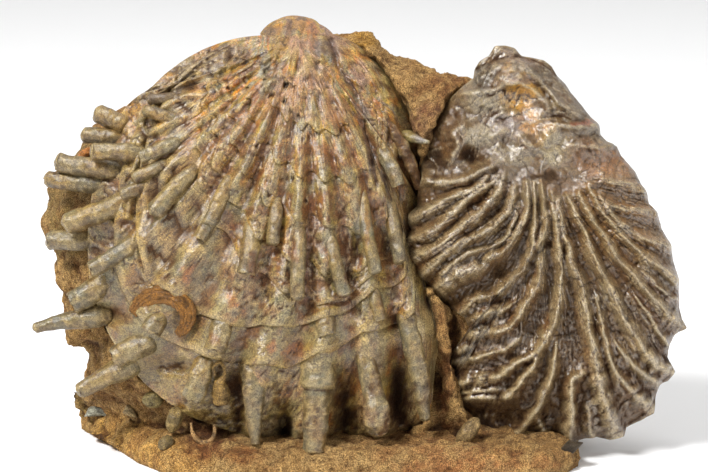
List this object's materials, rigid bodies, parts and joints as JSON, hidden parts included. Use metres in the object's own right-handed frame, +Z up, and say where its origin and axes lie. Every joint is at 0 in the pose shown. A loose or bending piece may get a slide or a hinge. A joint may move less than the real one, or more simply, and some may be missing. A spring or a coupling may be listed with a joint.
{
  "type": "fossil bivalve cluster",
  "caption": "Spiny fossil clam valve beside a ribbed fossil oyster valve on a block of sandy rock, sawn flat to stand on a shelf.",
  "frame": {"origin": "on the sawn base, under the middle of the bounding box", "axes": "+Z up, +X to the right of a viewer who faces the shells, -Y towards that viewer"},
  "size_m": [0.164, 0.0746, 0.1086],
  "materials": {
    "rock_matrix": "rough sandy rock",
    "spiny_clam_shell": "worn shell with a dull sheen",
    "ribbed_oyster_shell": "glossy brown shell",
    "encrusting_oyster": "worn shell",
    "worm_tube": "chalky tube",
    "ring_shell": "worn shell",
    "blue_fragment": "smooth shell",
    "dark_fragment": "smooth shell",
    "pale_chip": "chalky shell",
    "grey_flake": "smooth shell",
    "green_pebble": "worn shell",
    "upper_stub": "worn shell",
    "lower_stub": "worn shell",
    "orange_bit": "worn shell",
    "rib_fragment": "glossy shell"
  },
  "bodies": {
    "root": {"rock_matrix": "rock_matrix", "spiny_clam_shell": "spiny_clam_shell", "ribbed_oyster_shell": "ribbed_oyster_shell", "encrusting_oyster": "encrusting_oyster", "worm_tube": "worm_tube", "ring_shell": "ring_shell", "blue_fragment": "blue_fragment", "dark_fragment": "dark_fragment", "pale_chip": "pale_chip", "grey_flake": "grey_flake", "green_pebble": "green_pebble", "upper_stub": "upper_stub", "lower_stub": "lower_stub", "orange_bit": "orange_bit", "rib_fragment": "rib_fragment"}
  },
  "joints": []
}
